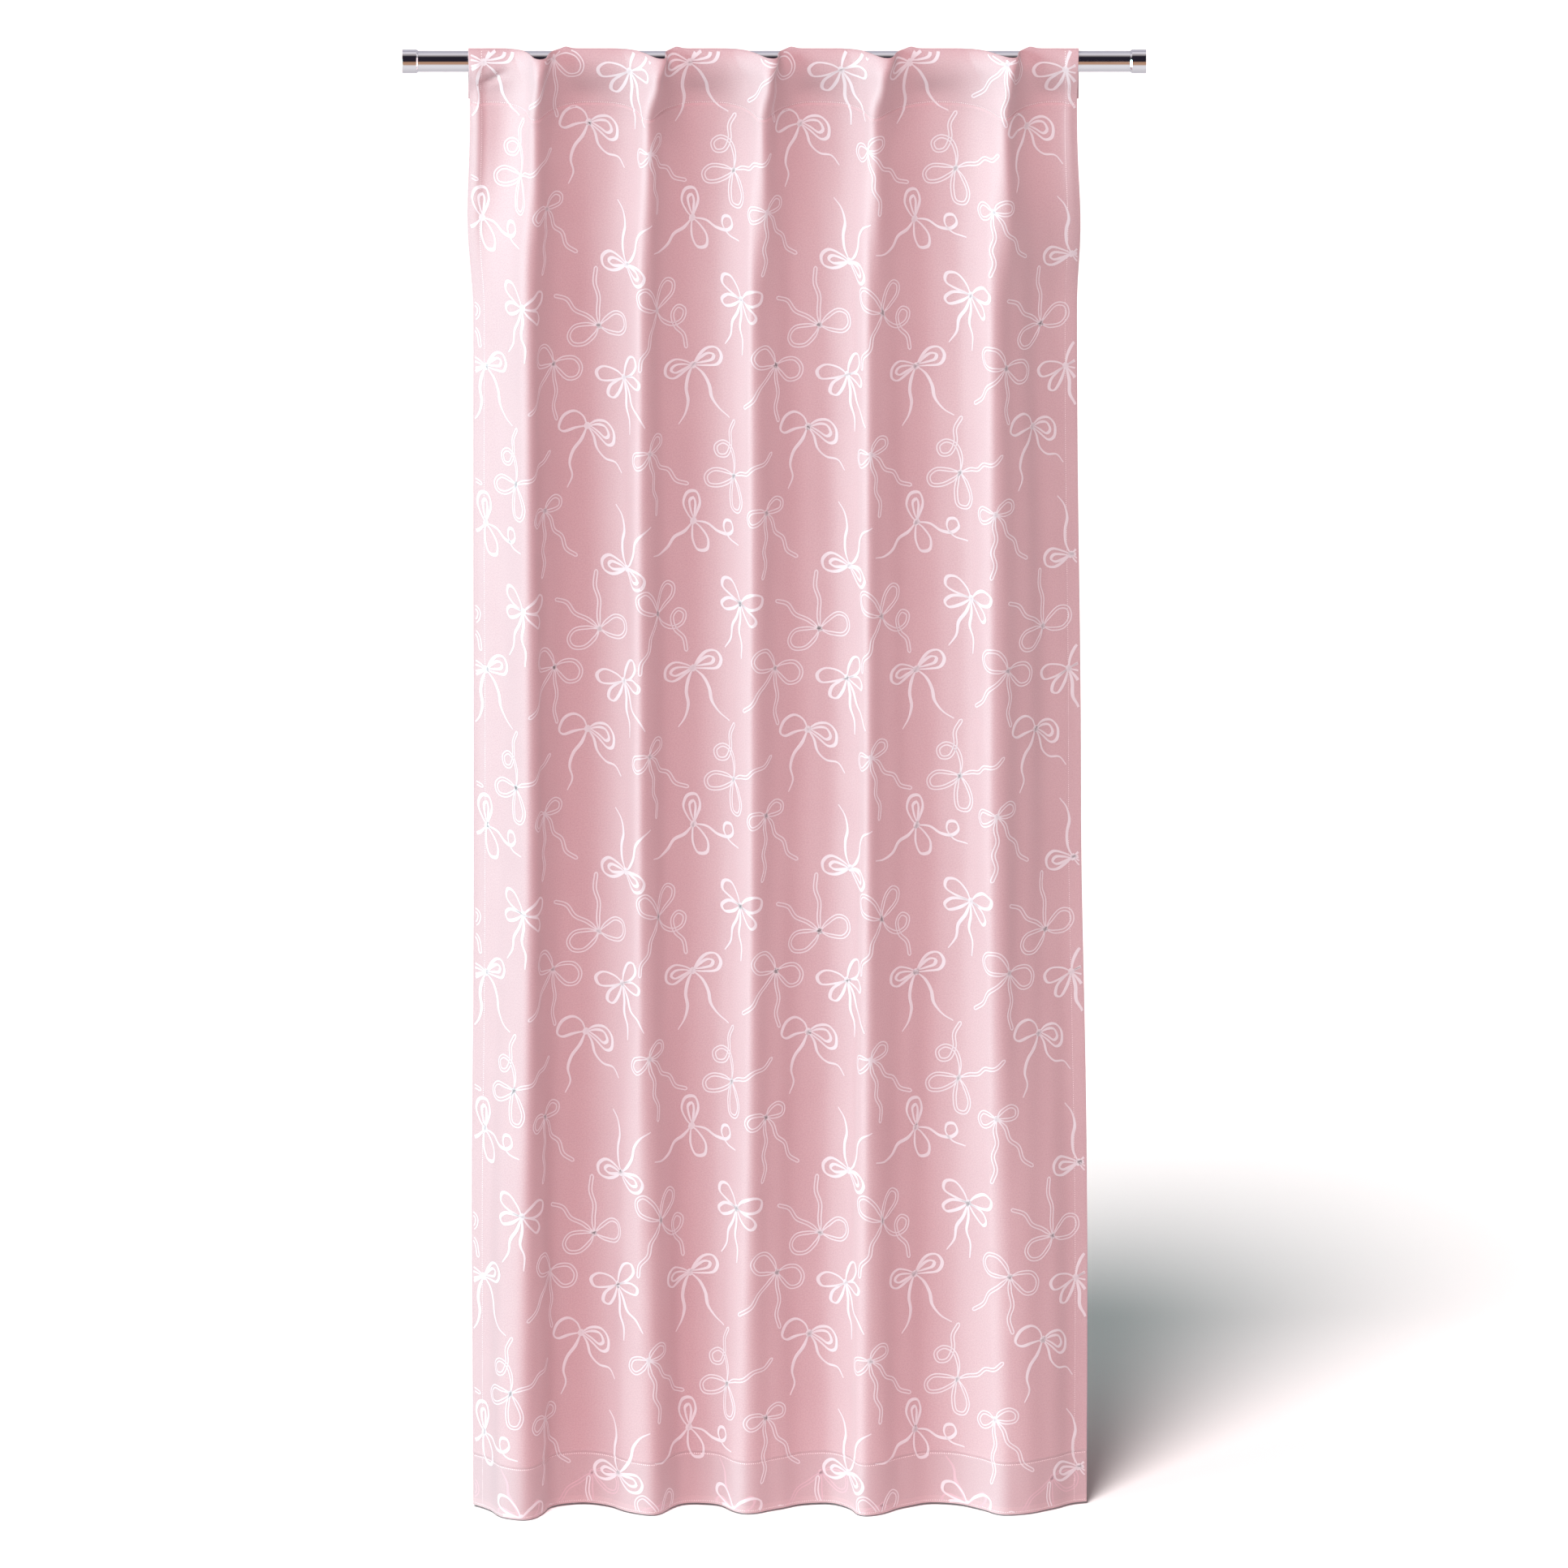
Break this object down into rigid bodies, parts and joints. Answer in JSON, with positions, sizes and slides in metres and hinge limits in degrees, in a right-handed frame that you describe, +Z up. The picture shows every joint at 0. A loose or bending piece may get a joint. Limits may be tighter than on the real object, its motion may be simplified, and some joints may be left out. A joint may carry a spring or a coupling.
{
  "type": "blackout curtain",
  "caption": "Full-length folded blackout curtain, hemmed and hung by hidden loops behind its head from a polished rod with end caps.",
  "frame": {"origin": "middle of the rod's axis, halfway between its ends", "axes": "+X along the rod to the right as seen from the room, +Y away from the room towards the window, +Z up"},
  "size_m": [1.2256, 0.1383, 2.5011],
  "materials": {
    "panel_cloth": "matt pink plain weave",
    "loop_cloth": "matt pink plain weave",
    "polished_tube": "polished",
    "polished_cap": "polished"
  },
  "bodies": {
    "root": {"curtain_panel": "panel_cloth", "back_tab_1": "loop_cloth", "back_tab_2": "loop_cloth", "back_tab_3": "loop_cloth", "back_tab_4": "loop_cloth", "back_tab_5": "loop_cloth", "back_tab_6": "loop_cloth", "curtain_rod": "polished_tube", "end_cap_left": "polished_cap", "end_cap_right": "polished_cap"}
  },
  "joints": []
}
